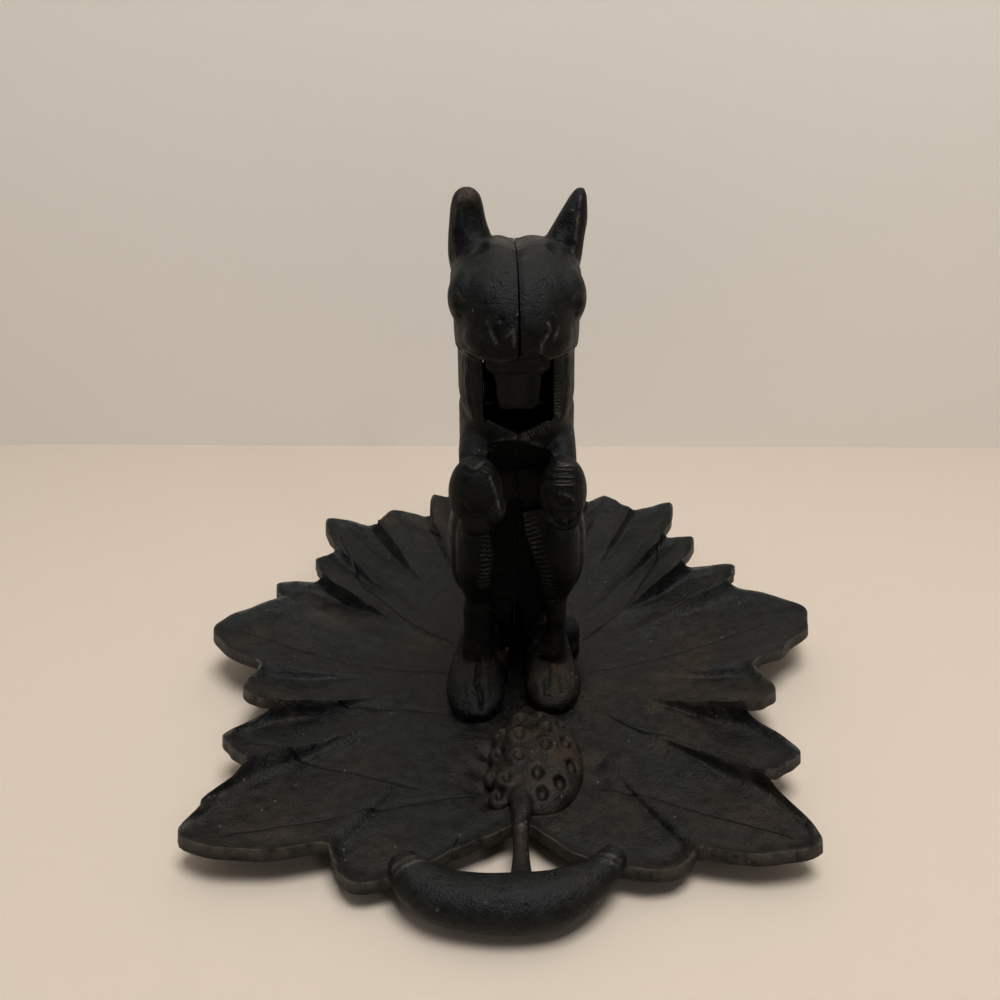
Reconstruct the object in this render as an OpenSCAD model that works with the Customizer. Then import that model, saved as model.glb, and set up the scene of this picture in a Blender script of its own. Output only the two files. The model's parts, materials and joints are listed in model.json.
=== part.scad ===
// Squirrel nutcracker on a leaf tray, in black cast iron. The squirrel is two half castings
// held together by pins. Its tail is a lever that carries the lower jaw at its front end.
// The squirrel faces -Y and the tray rests on the plane z = 0.

/* [Leaf tray] */
// Thickness of the leaf casting
leaf_t = 3.6; // [3:0.1:4.5]
// Height of the tray's floor over the table
floor_z = 7; // [6.5:0.1:8.5]
// How far the leaf's edge rises over the floor, as a factor on the edge heights
edge_rise = 1; // [0.7:0.05:1.3]
// Radius of the flat pad that the tray stands on
pad_r = 40; // [36:1:44]

/* [Handle] */
// Half width of the loop handle's bar at its middle, seen from above
grip_r = 8.2; // [6.5:0.1:9]
// Half height of the loop handle's bar at its middle
grip_h = 7; // [5.5:0.1:7.4]
// Half width of the stem between the leaf and the handle
stem_r = 2.8; // [2.5:0.1:4]

/* [Squirrel] */
// Half width of the body at its thighs
thigh_w = 21.5; // [20:0.5:24]
// Half width of the neck
neck_w = 17.1; // [16.5:0.1:18.5]
// Half width of the head
head_w = 18.8; // [18:0.1:21]
// Height of the flat lower rim of the upper jaw
jaw_z = 122.3; // [121:0.1:124]
// Height of the top of the head
head_top = 151.5; // [150:0.5:156]
// Height of the ear tips
ear_top = 165; // [162:0.5:170]
// How far the front feet reach to the front of the origin
toe_y = 30; // [28:0.5:34]

/* [Lever] */
// Width of the slot between the two halves that the lever swings in
slot_w = 19.6; // [19:0.1:20.4]
// Side clearance between the lever and each half
side_gap = 0.4; // [0.3:0.05:0.8]
// Place of the pivot to the back of the origin
pivot_y = 8; // [7:0.5:9]
// Height of the pivot over the table
pivot_z = 110; // [109:0.5:111]
// Radius of the lever's hub
hub_r = 9; // [8:0.5:9.5]
// Half width of the tail at its widest place
tail_w = 12; // [9:0.5:15]
// Half thickness of the tail at its thickest place
tail_t = 6.5; // [5:0.5:7]
// How far the lever opens, in degrees
open_deg = 35; // [30:1:36]

/* [Fasteners] */
// Diameter of the pivot pin
pin_d = 6; // [5:0.5:8]
// Diametral clearance of the lever on the pivot pin
pin_play = 0.12; // [0.06:0.02:0.2]
// Diameter of the rivets
rivet_d = 4.8; // [4:0.2:6]
// Diameter of the foot screws
screw_d = 5; // [4:0.5:6]
// Diameter of a foot screw's head
screw_head_d = 9; // [8.5:0.5:10]
// Height of a foot screw's head
screw_head_h = 2.4; // [2:0.1:2.8]
// Clearance round a fastener in its hole
fit = 0.1; // [0.06:0.02:0.2]

/* [Hidden] */
$fn = 48;
iron = "#2b2a29";
steel = "#55524e";

// Edge of the leaf, going round from the front middle: notch, tip, notch, tip and so on, as
// place to the right, place to the back and height over the table.
leaf_edge = [
    [-14, -80, 9], [-1, -79, 9], [11, -80, 9], [38, -95, 9], [44, -90, 10], [76, -90, 11],
    [68, -67, 14], [81, -58, 14], [69, -37, 15], [82, -29, 15], [79, -14, 15], [106, 18, 17],
    [82, 38, 17], [87, 50, 18], [67, 51, 18], [75, 72, 20], [64, 75, 19], [71, 101, 22],
    [53, 98, 20], [43, 108, 22], [34, 104, 21], [2, 130, 24], [-26, 113, 22], [-33, 112, 23],
    [-34, 95, 20], [-50, 97, 22], [-56, 88, 20], [-77, 91, 22], [-71, 69, 19], [-77, 59, 20],
    [-73, 47, 18], [-90, 44, 18], [-85, 33, 17], [-106, 14, 17], [-86, -8, 15], [-89, -20, 15],
    [-77, -29, 15], [-89, -43, 14], [-80, -55, 14], [-91, -80, 11], [-53, -83, 10], [-46, -92, 9]];
edge_steps = 4;
leaf_rings = [0.32, 0.5, 0.66, 0.8, 0.92, 1];

// Sections of the trunk as height, half width, front and back
trunk = [
    [floor_z, thigh_w - 9.5, 0, 30], [18, thigh_w - 9, -5, 33], [28, thigh_w - 8, -11, 35],
    [37, thigh_w - 4, -16, 36], [46, thigh_w - 0.8, -18, 35.5], [55, thigh_w, -18, 33.5],
    [64, thigh_w - 0.6, -17, 30], [73, neck_w + 2.5, -16, 26.5], [82, neck_w + 1.3, -18, 22.5],
    [92, neck_w + 0.4, -22, 19], [103, neck_w, -23.5, 17], [113, neck_w, -21, 16.5],
    [jaw_z + 3, neck_w, -20, 17]];
// Sections of the head as height, half width, front and back
skull = [
    [jaw_z, head_w - 1.2, -26.5, 18], [jaw_z + 4, head_w - 0.4, -29, 19.5],
    [jaw_z + 10.5, head_w, -29.5, 20], [jaw_z + 16.5, head_w - 0.3, -27, 19.5],
    [head_top - 6.5, head_w - 2.4, -21, 17.5], [head_top - 2, head_w - 6.5, -13, 12.5],
    [head_top, head_w - 12, -5, 7]];
arc_steps = 14;

// Jaw and lever, as seen from the side in the plane through the pivot
jaw_front = -17.5;
lip_t = 3;
jaw_gap = 0.3;
half_slot = slot_w / 2;
lever_w = slot_w - 2 * side_gap;
throat_r = norm([jaw_front - pivot_y, jaw_z - pivot_z]) + 0.9;
window_z = 107;
vee_z = 102;
// Centre line of the tail at rest: place to the back, height, half width and half thickness
tail_line = [
    [pivot_y + 5, pivot_z - 2, lever_w / 2, 6], [pivot_y + 11, pivot_z - 8, lever_w / 2, 5.6],
    [29, 91, lever_w / 2, tail_t - 0.9], [35, 79, tail_w - 1.4, tail_t - 0.4],
    [44, 69, tail_w - 0.4, tail_t], [56, 64, tail_w, tail_t], [68, 66, tail_w, tail_t - 0.2],
    [79, 74, tail_w - 0.6, tail_t - 0.6], [86, 86, tail_w - 1.8, tail_t - 1.2],
    [89, 99, tail_w - 3.6, tail_t - 2], [95, 109, tail_w - 6, tail_t - 2.8],
    [105, 113, tail_w - 9, tail_t - 4.4]];
tail_arc = 16;

// Handle: centre line of the bar from its left end to its right end, as place to the right, place
// to the back, height, half width and half height
grip_line = [
    [-38, -88, 11, 3.6, 3], [-32, -93, 10, 5, 4.4], [-24, -98.5, 8.8, grip_r - 1.2, grip_h - 1],
    [-15, -101.4, 8.2, grip_r - 0.3, grip_h - 0.2], [-6, -102.2, 8, grip_r, grip_h],
    [3, -101.6, 8.2, grip_r - 0.3, grip_h - 0.3], [12, -99.4, 8.8, grip_r - 1.4, grip_h - 1.2],
    [20, -95.6, 9.6, grip_r - 3, 4.4], [29, -91, 10, 3.6, 3]];
stem_line = [
    [-1, -68, 9, stem_r + 2.4, 2.8], [-2, -79, 9, stem_r + 0.4, 2.6], [-2.6, -88, 8.6, stem_r, 2.6],
    [-3, -97, 8, stem_r + 1, 3]];
bar_arc = 12;

// Feet, arms and fists
foot_x = 12.4;
foot_w = 8.9;
foot_line = [
    [-toe_y, foot_x, foot_w - 4, 4], [2 - toe_y, foot_x, foot_w - 1.6, 9],
    [7 - toe_y, foot_x, foot_w, 15], [16 - toe_y, foot_x, foot_w, 20],
    [-3, foot_x - 1, foot_w, 22], [8, foot_x - 2, foot_w - 0.6, 22]];
screw_y = 0;
screw_len = 15;
screw_sink = 1;
screw_slot = 1.2;
arm_line = [
    [neck_w - 5.5, 4, 101, 5, 6], [neck_w - 3.4, -1, 92, 5.4, 6.4], [neck_w - 2.6, -7, 83, 5.2, 6.4],
    [neck_w - 3.4, -15, 79, 5, 6.4], [neck_w - 4.6, -22, 81, 5.4, 7]];
fist = [12.2, -25.5, 82, 7.4, 7, 12.5];
ear_line = [
    [head_top - 8, 13, 2, 5.4, 6], [head_top - 3, 13.6, 2, 5.4, 5.6],
    [head_top + 2, 14.4, 2.4, 4.9, 4.8], [head_top + 7, 15.2, 3, 3.9, 3.8],
    [ear_top - 3, 15.8, 3.6, 2.6, 2.7], [ear_top, 16.2, 4, 1, 1.2]];
ear_cup = [
    [head_top - 1, 14, -4.2, 2.2, 2.6], [head_top + 3, 14.6, -3.6, 3, 4],
    [head_top + 7, 15.2, -2, 2.4, 3.8], [ear_top - 2.5, 15.8, 0.6, 0.9, 1.4]];

// Points a share t of the way between b and c on a smooth curve through a, b, c and d
function glide(a, b, c, d, t) =
    b + 0.5 * t * (c - a + t * (2 * a - 5 * b + 4 * c - d + t * (3 * (b - c) + d - a)));
// A table with n smooth steps between each two of its rows
function fine(rows, n) = let (last = len(rows) - 1) [
    for (i = [0 : last - 1]) for (k = [0 : n - 1])
        glide(rows[max(i - 1, 0)], rows[i], rows[i + 1], rows[min(i + 2, last)], k / n),
    rows[last]];
// A value v raised to the power e that keeps its sign
function bow(v, e) = sign(v) * pow(abs(v), e);
// Half of a rounded section at height z: it is flat at x = 0 and w wide
function half_ring(z, w, front, back, e) = [
    for (i = [0 : arc_steps]) let (a = -90 + 180 * i / arc_steps)
        [w * bow(max(cos(a), 0), e), (front + back) / 2 + (back - front) / 2 * bow(sin(a), e), z]];
// Upright oval section round the point (x, y, z)
function oval(z, x, y, rx, ry, n) = [
    for (i = [0 : n - 1]) let (a = 360 * i / n) [x + rx * cos(a), y + ry * sin(a), z]];
// Section number i of a bar along a line in the tray: width w and height h
function bar_ring(line, i, n) =
    let (p = line[i], q = line[min(i + 1, len(line) - 1)] - line[max(i - 1, 0)],
         s = [-q[1], q[0]] / norm([q[0], q[1]]))
    [for (k = [0 : n - 1]) let (a = 360 * k / n)
        [p[0] + s[0] * p[3] * cos(a), p[1] + s[1] * p[3] * cos(a), p[2] + p[4] * sin(a)]];
// Section number i of the tail, square to its centre line
function tail_ring(line, i, n) =
    let (p = line[i], q = line[min(i + 1, len(line) - 1)] - line[max(i - 1, 0)],
         s = [q[1], -q[0]] / norm([q[0], q[1]]))
    [for (k = [0 : n - 1]) let (a = 360 * k / n, u = bow(cos(a), 0.9), v = bow(sin(a), 0.9))
        [p[2] * u, p[0] + s[0] * p[3] * v, p[1] + s[1] * p[3] * v]];
// Section number i of a limb, square to its line, with its half sizes across and up
function limb_ring(line, i, n) =
    let (p = line[i], q = line[min(i + 1, len(line) - 1)] - line[max(i - 1, 0)],
         s = [q[2], -q[1]] / norm([q[1], q[2]]))
    [for (k = [0 : n - 1]) let (a = 360 * k / n)
        [p[0] + p[3] * cos(a), p[1] + s[0] * p[4] * sin(a), p[2] + s[1] * p[4] * sin(a)]];
// Arched section of a foot with a flat sole at height z
function foot_ring(p, n) = [
    for (k = [0 : n]) let (a = 180 - 180 * k / n)
        [p[1] + p[2] * bow(cos(a), 0.7), p[0], floor_z + p[3] * bow(sin(a), 0.7)]];

// A closed solid through a row of sections with as many points each
module skin(rings) {
    n = len(rings[0]);
    last = len(rings) - 1;
    polyhedron(
        points = [for (ring = rings) for (p = ring) p],
        faces = [
            [for (k = [0 : n - 1]) k],
            [for (k = [0 : n - 1]) last * n + n - 1 - k],
            for (i = [0 : last - 1]) for (k = [0 : n - 1]) let (k2 = (k + 1) % n)
                [i * n + k, (i + 1) * n + k, (i + 1) * n + k2],
            for (i = [0 : last - 1]) for (k = [0 : n - 1]) let (k2 = (k + 1) % n)
                [i * n + k, (i + 1) * n + k2, i * n + k2]]);
}

// A plate with the outline in the plane of Y and Z, from x1 to x2
module side_plate(outline, x1, x2) {
    translate([x1, 0, 0]) rotate([90, 0, 90]) linear_extrude(x2 - x1) polygon(outline);
}

// A round bar of diameter d along X at (y, z)
module cross_bar(d, y, z, x1, x2) {
    translate([x1, y, z]) rotate([0, 90, 0]) cylinder(d = d, h = x2 - x1);
}

// Arc of points of radius r round the pivot, from angle a1 to a2
function pivot_arc(r, a1, a2, n) = [
    for (i = [0 : n]) let (a = a1 + (a2 - a1) * i / n)
        [pivot_y + r * cos(a), pivot_z + r * sin(a)]];

// Leaf: the edge as angle, radius and height, with smooth lobes between the notches
leaf_polar = [for (p = leaf_edge) [atan2(p[1], p[0]), norm([p[0], p[1]]), p[2]]];
function rim_point(i, k) =
    let (a = leaf_polar[i], b = leaf_polar[(i + 1) % len(leaf_polar)], t = k / edge_steps,
         to_tip = i % 2 == 0, s = to_tip ? sin(90 * t) : 1 - sin(90 * (1 - t)),
         turn = (b[0] - a[0] + 720) % 360, u = 0.45 * t + 0.55 * s,
         r = a[1] + (b[1] - a[1]) * u, g = a[0] + turn * t)
    [r * cos(g), r * sin(g), a[2] + (b[2] - a[2]) * t];
rim = [for (i = [0 : len(leaf_edge) - 1]) for (k = [0 : edge_steps - 1]) rim_point(i, k)];
// Height of the leaf's upper face a share s of the way out to a rim point of height z
function dish(s, z) =
    let (t = max(0, (s - 0.34) / 0.66)) floor_z + edge_rise * (z - floor_z) * t * t * (2 - t);
function leaf_ring(s, drop) = [for (p = rim) [p[0] * s, p[1] * s, dish(s, p[2]) - drop]];

module leaf() {
    skin(concat(
        [for (s = leaf_rings) leaf_ring(s, leaf_t)],
        [for (i = [len(leaf_rings) - 1 : -1 : 0]) leaf_ring(leaf_rings[i], 0)]));
}

// Cone-like cluster of seeds in front of the feet
cluster = [1, -54, 16.5, 16.5, 9];
module seeds() {
    translate([cluster[0], cluster[1], floor_z - 2])
        skin([for (t = [0, 0.25, 0.5, 0.7, 0.86, 0.97])
            oval((cluster[4] + 2) * t, 0, 0, cluster[2] * 0.8 * sqrt(1 - t * t),
                 cluster[3] * sqrt(1 - t * t), 20)]);
}

module leaf_tray() {
    color(iron) difference() {
        union() {
            leaf();
            cylinder(r = pad_r, h = floor_z - 1.5, $fn = 96);
            let (g = fine(grip_line, 2)) skin([for (i = [0 : len(g) - 1]) bar_ring(g, i, bar_arc)]);
            let (g = fine(stem_line, 2)) skin([for (i = [0 : len(g) - 1]) bar_ring(g, i, bar_arc)]);
            seeds();
        }
        for (side = [-1, 1]) translate([side * foot_x, screw_y, -1]) {
            cylinder(d = screw_d + 2 * fit, h = floor_z + 3);
            cylinder(d = screw_head_d + 8 * fit, h = screw_head_h + screw_sink + 1);
        }
    }
}

// Room that the jaw and the tail swing in, as seen from the side: the tail's neck stops against
// its upper edge when the lever is fully open
neck_top = [10.5, 0.35];
stop_z = pivot_z + neck_top[0] * sin(open_deg + 0.5) + neck_top[1] * cos(open_deg + 0.5);
throat = concat(
    [[-60, jaw_z], [-60, window_z]],
    [for (p = pivot_arc(throat_r, 186, 232, 6)) p],
    pivot_arc(hub_r + 1.2, 262, 290, 3),
    [[pivot_y + 13, pivot_z - 22], [pivot_y + 30, pivot_z - 30], [pivot_y + 30, stop_z - 0.6],
     [pivot_y + 9, stop_z]],
    pivot_arc(hub_r + 1.2, 50, 90, 4),
    [[pivot_y - 4, jaw_z]]);

// Opening of the front under the mouth, and the space between the thighs, as seen from the front
mouth_front = [[-1, window_z + 1], [half_slot, window_z + 1], [half_slot, window_z], [0, vee_z],
    [-1, vee_z]];
thigh_gap = [[-1, 76], [0.8, 74], [4.4, 56], [7.6, 40], [8.2, 26], [-1, 26]];
leg_gap = [[-1, 39], [0.4, 37], [2.6, 30], [3, floor_z - 1], [-1, floor_z - 1]];
// Recess of the chest between the arms, the belly pocket and the head pocket, from the side
chest_recess = [[-60, 98], [-20.5, 98], [-18, 92], [-14, 86], [-12, 73], [-60, 73]];
belly_pocket = [[2, 72], [-4, 62], [-5, 50], [0, 42], [24, 42], [28, 50], [24, 64], [16, 76], [6, 78]];
head_pocket = [[-20, jaw_z + 6], [-1, jaw_z + 6], [-1, head_top - 10], [-12, head_top - 7],
    [-20, head_top - 12]];
pocket_w = 11;
head_rivet_y = 7;
head_rivet_z = jaw_z + 13;
haunch_rivet_y = 26;
haunch_rivet_z = 34;
rivet_head_t = 1.2;

// A plate with the outline in the plane of X and Z, from y1 to y2
module front_plate(outline, y1, y2) {
    translate([0, y2, 0]) rotate([90, 0, 0]) linear_extrude(y2 - y1) polygon(outline);
}

module ear() {
    difference() {
        skin([for (i = [0 : len(ear_line) - 1]) let (p = ear_line[i])
            oval(p[0], p[1], p[2], p[3], p[4], 14)]);
        skin([for (p = ear_cup) oval(p[0], p[1], p[2], p[3], p[4], 10)]);
    }
}

module limb(line) {
    skin([for (i = [0 : len(line) - 1]) limb_ring(line, i, 12)]);
}

// One half of the squirrel without its holes: the half at +X
module half_casting() {
    difference() {
        union() {
            let (t = fine(trunk, 2)) skin([for (p = t) half_ring(p[0], p[1], p[2], p[3], 0.8)]);
            let (t = fine(skull, 2)) skin([for (p = t) half_ring(p[0], p[1], p[2], p[3], 0.86)]);
        }
        side_plate(throat, -1, half_slot);
        front_plate(mouth_front, -60, -10);
        side_plate(chest_recess, -1, 9);
        front_plate(thigh_gap, -60, -6);
        front_plate(leg_gap, -60, 60);
        side_plate(belly_pocket, -1, pocket_w);
        side_plate(head_pocket, -1, pocket_w);
    }
    ear();
    limb(arm_line);
    skin([for (t = [-1, -0.86, -0.5, 0, 0.5, 0.86, 0.98]) let (c = sqrt(1.02 - t * t))
        oval(fist[2] + fist[5] * t, fist[0], fist[1], fist[3] * c, fist[4] * c, 14)]);
    skin([for (p = foot_line) foot_ring(p, 12)]);
}

// Holes for the pivot pin, the rivets and the foot screw in the half at +X
module half_holes() {
    cross_bar(pin_d + fit, pivot_y, pivot_z, -1, 40);
    cross_bar(pin_d + 4 + fit, pivot_y, pivot_z, neck_w - rivet_head_t, 40);
    cross_bar(rivet_d + fit, head_rivet_y, head_rivet_z, -1, 40);
    cross_bar(rivet_d + 3 + fit, head_rivet_y, head_rivet_z, head_w - 1.4 - rivet_head_t, 40);
    cross_bar(rivet_d + fit, haunch_rivet_y, haunch_rivet_z, -1, 40);
    translate([foot_x, screw_y, floor_z - 1]) cylinder(d = screw_d + fit, h = screw_len + 1);
}

module body_right() {
    color(iron) difference() {
        half_casting();
        half_holes();
    }
}

module body_left() {
    color(iron) mirror([1, 0, 0]) difference() {
        half_casting();
        half_holes();
    }
}

// Side outline of the arm that carries the jaw, and front outline of the jaw's block
jaw_top = jaw_z - jaw_gap;
jaw_arm = [
    [jaw_front + 8, jaw_top - 1], [jaw_front + 9, jaw_top - 14], [jaw_front + 13, jaw_top - 17],
    [pivot_y - 2, pivot_z - hub_r + 0.6], [pivot_y, pivot_z], [pivot_y - 1, pivot_z + hub_r - 0.4],
    [-6, jaw_top - 2.2]];
jaw_block = [
    [-7, jaw_top - 2], [7, jaw_top - 2], [6.3, jaw_top - 11], [5, jaw_top - 15.6],
    [-5, jaw_top - 15.6], [-6.3, jaw_top - 11]];
jaw_lip = [
    [-9, jaw_top], [9, jaw_top], [9, jaw_top - lip_t], [7, jaw_top - lip_t - 2],
    [-7, jaw_top - lip_t - 2], [-9, jaw_top - lip_t]];

module tail_lever() {
    color(iron) difference() {
        union() {
            cross_bar(2 * hub_r, pivot_y, pivot_z, -lever_w / 2, lever_w / 2);
            side_plate(jaw_arm, -6, 6);
            front_plate(jaw_block, jaw_front + 0.8, jaw_front + 9.5);
            front_plate(jaw_lip, jaw_front, jaw_front + 13);
            let (t = fine(tail_line, 2)) skin([for (i = [0 : len(t) - 1]) tail_ring(t, i, tail_arc)]);
        }
        // Shallow dish that the nut sits in
        cross_bar(16, jaw_front + 8, jaw_top + 6.6, -6.4, 6.4);
        cross_bar(pin_d + pin_play, pivot_y, pivot_z, -20, 20);
    }
}

module pivot_pin() {
    reach = neck_w - rivet_head_t;
    color(steel) {
        cross_bar(pin_d, pivot_y, pivot_z, -reach, reach);
        for (side = [-1, 1]) translate([side > 0 ? reach : -reach - 0.9, 0, 0])
            cross_bar(pin_d + 4, pivot_y, pivot_z, 0, 0.9);
    }
}

module head_rivet() {
    reach = head_w - 1.4 - rivet_head_t;
    color(steel) {
        cross_bar(rivet_d, head_rivet_y, head_rivet_z, -reach, reach);
        for (side = [-1, 1]) translate([side > 0 ? reach : -reach - 0.9, 0, 0])
            cross_bar(rivet_d + 3, head_rivet_y, head_rivet_z, 0, 0.9);
    }
}

module haunch_rivet() {
    color(steel) cross_bar(rivet_d, haunch_rivet_y, haunch_rivet_z, -14, 14);
}

module foot_screw(side) {
    color(steel) translate([side * foot_x, screw_y, screw_sink]) difference() {
        union() {
            cylinder(d = screw_head_d, h = screw_head_h);
            cylinder(d = screw_d, h = floor_z - screw_sink + screw_len - 1);
        }
        translate([-screw_head_d, -screw_slot / 2, -1]) cube([2 * screw_head_d, screw_slot, 2]);
    }
}

module foot_screw_left() { foot_screw(-1); }
module foot_screw_right() { foot_screw(1); }

leaf_tray();
body_left();
body_right();
tail_lever();
pivot_pin();
head_rivet();
haunch_rivet();
foot_screw_left();
foot_screw_right();
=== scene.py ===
import json
import math
import bpy
import numpy as np
from mathutils import Euler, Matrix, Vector
from mathutils.kdtree import KDTree

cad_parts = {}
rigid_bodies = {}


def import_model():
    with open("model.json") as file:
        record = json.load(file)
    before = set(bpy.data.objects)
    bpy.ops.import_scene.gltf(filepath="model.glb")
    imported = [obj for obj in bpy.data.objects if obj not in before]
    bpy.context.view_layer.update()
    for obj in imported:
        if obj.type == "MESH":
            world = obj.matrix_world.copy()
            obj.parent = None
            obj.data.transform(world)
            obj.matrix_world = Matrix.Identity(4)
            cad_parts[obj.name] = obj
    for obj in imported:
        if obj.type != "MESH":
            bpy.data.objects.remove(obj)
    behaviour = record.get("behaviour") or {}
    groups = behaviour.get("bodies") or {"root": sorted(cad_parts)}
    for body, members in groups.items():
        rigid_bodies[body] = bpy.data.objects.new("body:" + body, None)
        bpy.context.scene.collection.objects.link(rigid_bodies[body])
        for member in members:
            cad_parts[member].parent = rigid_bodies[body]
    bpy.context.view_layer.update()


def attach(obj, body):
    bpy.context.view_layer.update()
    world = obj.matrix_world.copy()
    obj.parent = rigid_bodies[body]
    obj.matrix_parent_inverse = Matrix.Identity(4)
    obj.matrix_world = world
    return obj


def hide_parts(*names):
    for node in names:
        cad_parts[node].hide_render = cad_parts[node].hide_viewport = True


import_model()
mm = 0.001
print("stage: frame loaded")


def deselectAll():
    if bpy.context.object and bpy.context.object.mode != "OBJECT":
        bpy.ops.object.mode_set(mode="OBJECT")
    bpy.ops.object.select_all(action="DESELECT")


def makeActive(piece):
    deselectAll()
    piece.select_set(True)
    bpy.context.view_layer.objects.active = piece


def applyModifier(piece, kind, **settings):
    makeActive(piece)
    modifier = piece.modifiers.new(kind.title(), kind)
    for key, value in settings.items():
        setattr(modifier, key, value)
    bpy.ops.object.modifier_apply(modifier=modifier.name)


def smoothRows(rows, v):
    # rows of numbers as smooth curves: v runs from 0 at the first row to 1 at the last
    rows = np.array(rows, float)
    last = len(rows) - 1
    place = np.clip(np.asarray(v) * last, 0, last - 1e-9)
    i = place.astype(int)
    t = (place - i)[:, None]
    a, b = rows[np.maximum(i - 1, 0)], rows[i]
    c, d = rows[i + 1], rows[np.minimum(i + 2, last)]
    return b + 0.5 * t * (c - a + t * (2 * a - 5 * b + 4 * c - d + t * (3 * (b - c) + d - a)))


def curveRun(rows, v, step=1e-3):
    # the way a smooth curve runs at v, with length 1
    line = smoothRows(rows, np.clip(v + step, 0, 1)) - smoothRows(rows, np.clip(v - step, 0, 1))
    return line[:, :3] / np.linalg.norm(line[:, :3], axis=1)[:, None]


def bow(value, power):
    return np.sign(value) * np.abs(value) ** power


def faceOutward():
    bpy.ops.mesh.select_all(action="SELECT")
    bpy.ops.mesh.normals_make_consistent(inside=False)
    bpy.ops.object.mode_set(mode="OBJECT")


def wrapGrid(name, around, along, place, closed=True):
    # a primitive grid whose points are moved to place(u, v), with u round the piece and v along it
    deselectAll()
    bpy.ops.mesh.primitive_grid_add(x_subdivisions=around, y_subdivisions=along, size=1)
    piece = bpy.context.object
    piece.name = name
    mesh = piece.data
    flat = np.empty(len(mesh.vertices) * 3)
    mesh.vertices.foreach_get("co", flat)
    flat = flat.reshape(-1, 3)
    points = place(flat[:, 0] + 0.5, flat[:, 1] + 0.5)
    mesh.vertices.foreach_set("co", (points * mm).ravel())
    mesh.update()
    bpy.ops.object.mode_set(mode="EDIT")
    bpy.ops.mesh.select_all(action="SELECT")
    bpy.ops.mesh.remove_doubles(threshold=1e-6)
    if closed:
        bpy.ops.mesh.select_all(action="DESELECT")
        bpy.ops.mesh.select_non_manifold(extend=False)
        bpy.ops.mesh.edge_face_add()
    faceOutward()
    return piece


def spineForm(name, rows, around=40, along=60, side=(1, 0, 0), power=1.0, level=False):
    # rows hold x, y, z, half width along side and half width square to it
    side = np.array(side, float)

    def place(u, v):
        v = np.clip(v, 0, 1)
        row = smoothRows(rows, v)
        line = np.tile([0.0, 0.0, 1.0], (len(v), 1)) if level else curveRun(rows, v)
        across = side - line * (line @ side)[:, None]
        across /= np.linalg.norm(across, axis=1)[:, None]
        other = np.cross(line, across)
        a = 2 * math.pi * u
        p = row[:, 5] if row.shape[1] > 5 else power
        return (row[:, :3] + across * (row[:, 3] * bow(np.cos(a), p))[:, None]
                + other * (row[:, 4] * bow(np.sin(a), p))[:, None])
    return wrapGrid(name, around, along, place)


def eggForm(name, centre, halves, turn=(0, 0, 0), segments=32):
    # a primitive sphere at its size, place and turn in degrees
    deselectAll()
    bpy.ops.mesh.primitive_uv_sphere_add(segments=segments, ring_count=segments // 2, radius=mm)
    egg = bpy.context.object
    egg.name = name
    egg.scale = halves
    egg.rotation_euler = [math.radians(t) for t in turn]
    egg.location = [c * mm for c in centre]
    bpy.ops.object.transform_apply(location=True, rotation=True, scale=True)
    return egg


def plateForm(name, outline, low, high, plane="YZ"):
    # an outline given in two axes, pushed along the third from low to high
    deselectAll()
    bpy.ops.mesh.primitive_circle_add(vertices=len(outline), radius=1, fill_type="NGON")
    plate = bpy.context.object
    plate.name = name
    for point, (a, b) in zip(plate.data.vertices, outline):
        spot = {"YZ": (low, a, b), "XZ": (a, low, b), "XY": (a, b, low)}[plane]
        point.co = Vector(spot) * mm
    push = {"YZ": (1, 0, 0), "XZ": (0, 1, 0), "XY": (0, 0, 1)}[plane]
    bpy.ops.object.mode_set(mode="EDIT")
    bpy.ops.mesh.select_all(action="SELECT")
    bpy.ops.mesh.extrude_region_move(
        TRANSFORM_OT_translate={"value": Vector(push) * (high - low) * mm})
    faceOutward()
    return plate


def joinPieces(name, parts):
    makeActive(parts[0])
    for part in parts[1:]:
        part.select_set(True)
    bpy.ops.object.join()
    joined = bpy.context.object
    joined.name = name
    return joined


def melt(name, parts, voxel, rounds, factor=0.5):
    # joins overlapping forms into one skin and softens where they meet
    body = joinPieces(name, parts) if len(parts) > 1 else parts[0]
    body.name = name
    applyModifier(body, "REMESH", mode="VOXEL", voxel_size=voxel * mm)
    if rounds:
        applyModifier(body, "SMOOTH", factor=factor, iterations=rounds)
    return body


def carve(piece, cutters, operation="DIFFERENCE"):
    for cutter in cutters:
        applyModifier(piece, "BOOLEAN", operation=operation, object=cutter, solver="MANIFOLD")
        bpy.data.objects.remove(cutter)
    return piece


def linearColour(hexColour, alpha=1.0):
    parts = [int(hexColour[i:i + 2], 16) / 255 for i in (1, 3, 5)]
    return [c / 12.92 if c <= 0.04045 else ((c + 0.055) / 1.055) ** 2.4 for c in parts] + [alpha]


def addNode(tree, kind, settings=None, links=None):
    # a link may name a node, which then stands for its first output
    node = tree.nodes.new("ShaderNode" + kind)
    for key, value in (settings or {}).items():
        if isinstance(key, int) or key in node.inputs.keys():
            node.inputs[key].default_value = value
        else:
            setattr(node, key, value)
    for key, source in (links or {}).items():
        start = source.outputs[0] if isinstance(source, bpy.types.Node) else source
        tree.links.new(start, node.inputs[key])
    return node


def setRamp(node, stops):
    ramp, stops = node.color_ramp, list(stops)
    while len(ramp.elements) < len(stops):
        ramp.elements.new(0.5)
    for element, (position, colour) in zip(ramp.elements, stops):
        element.position = position
        element.color = colour
    return node


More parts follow.
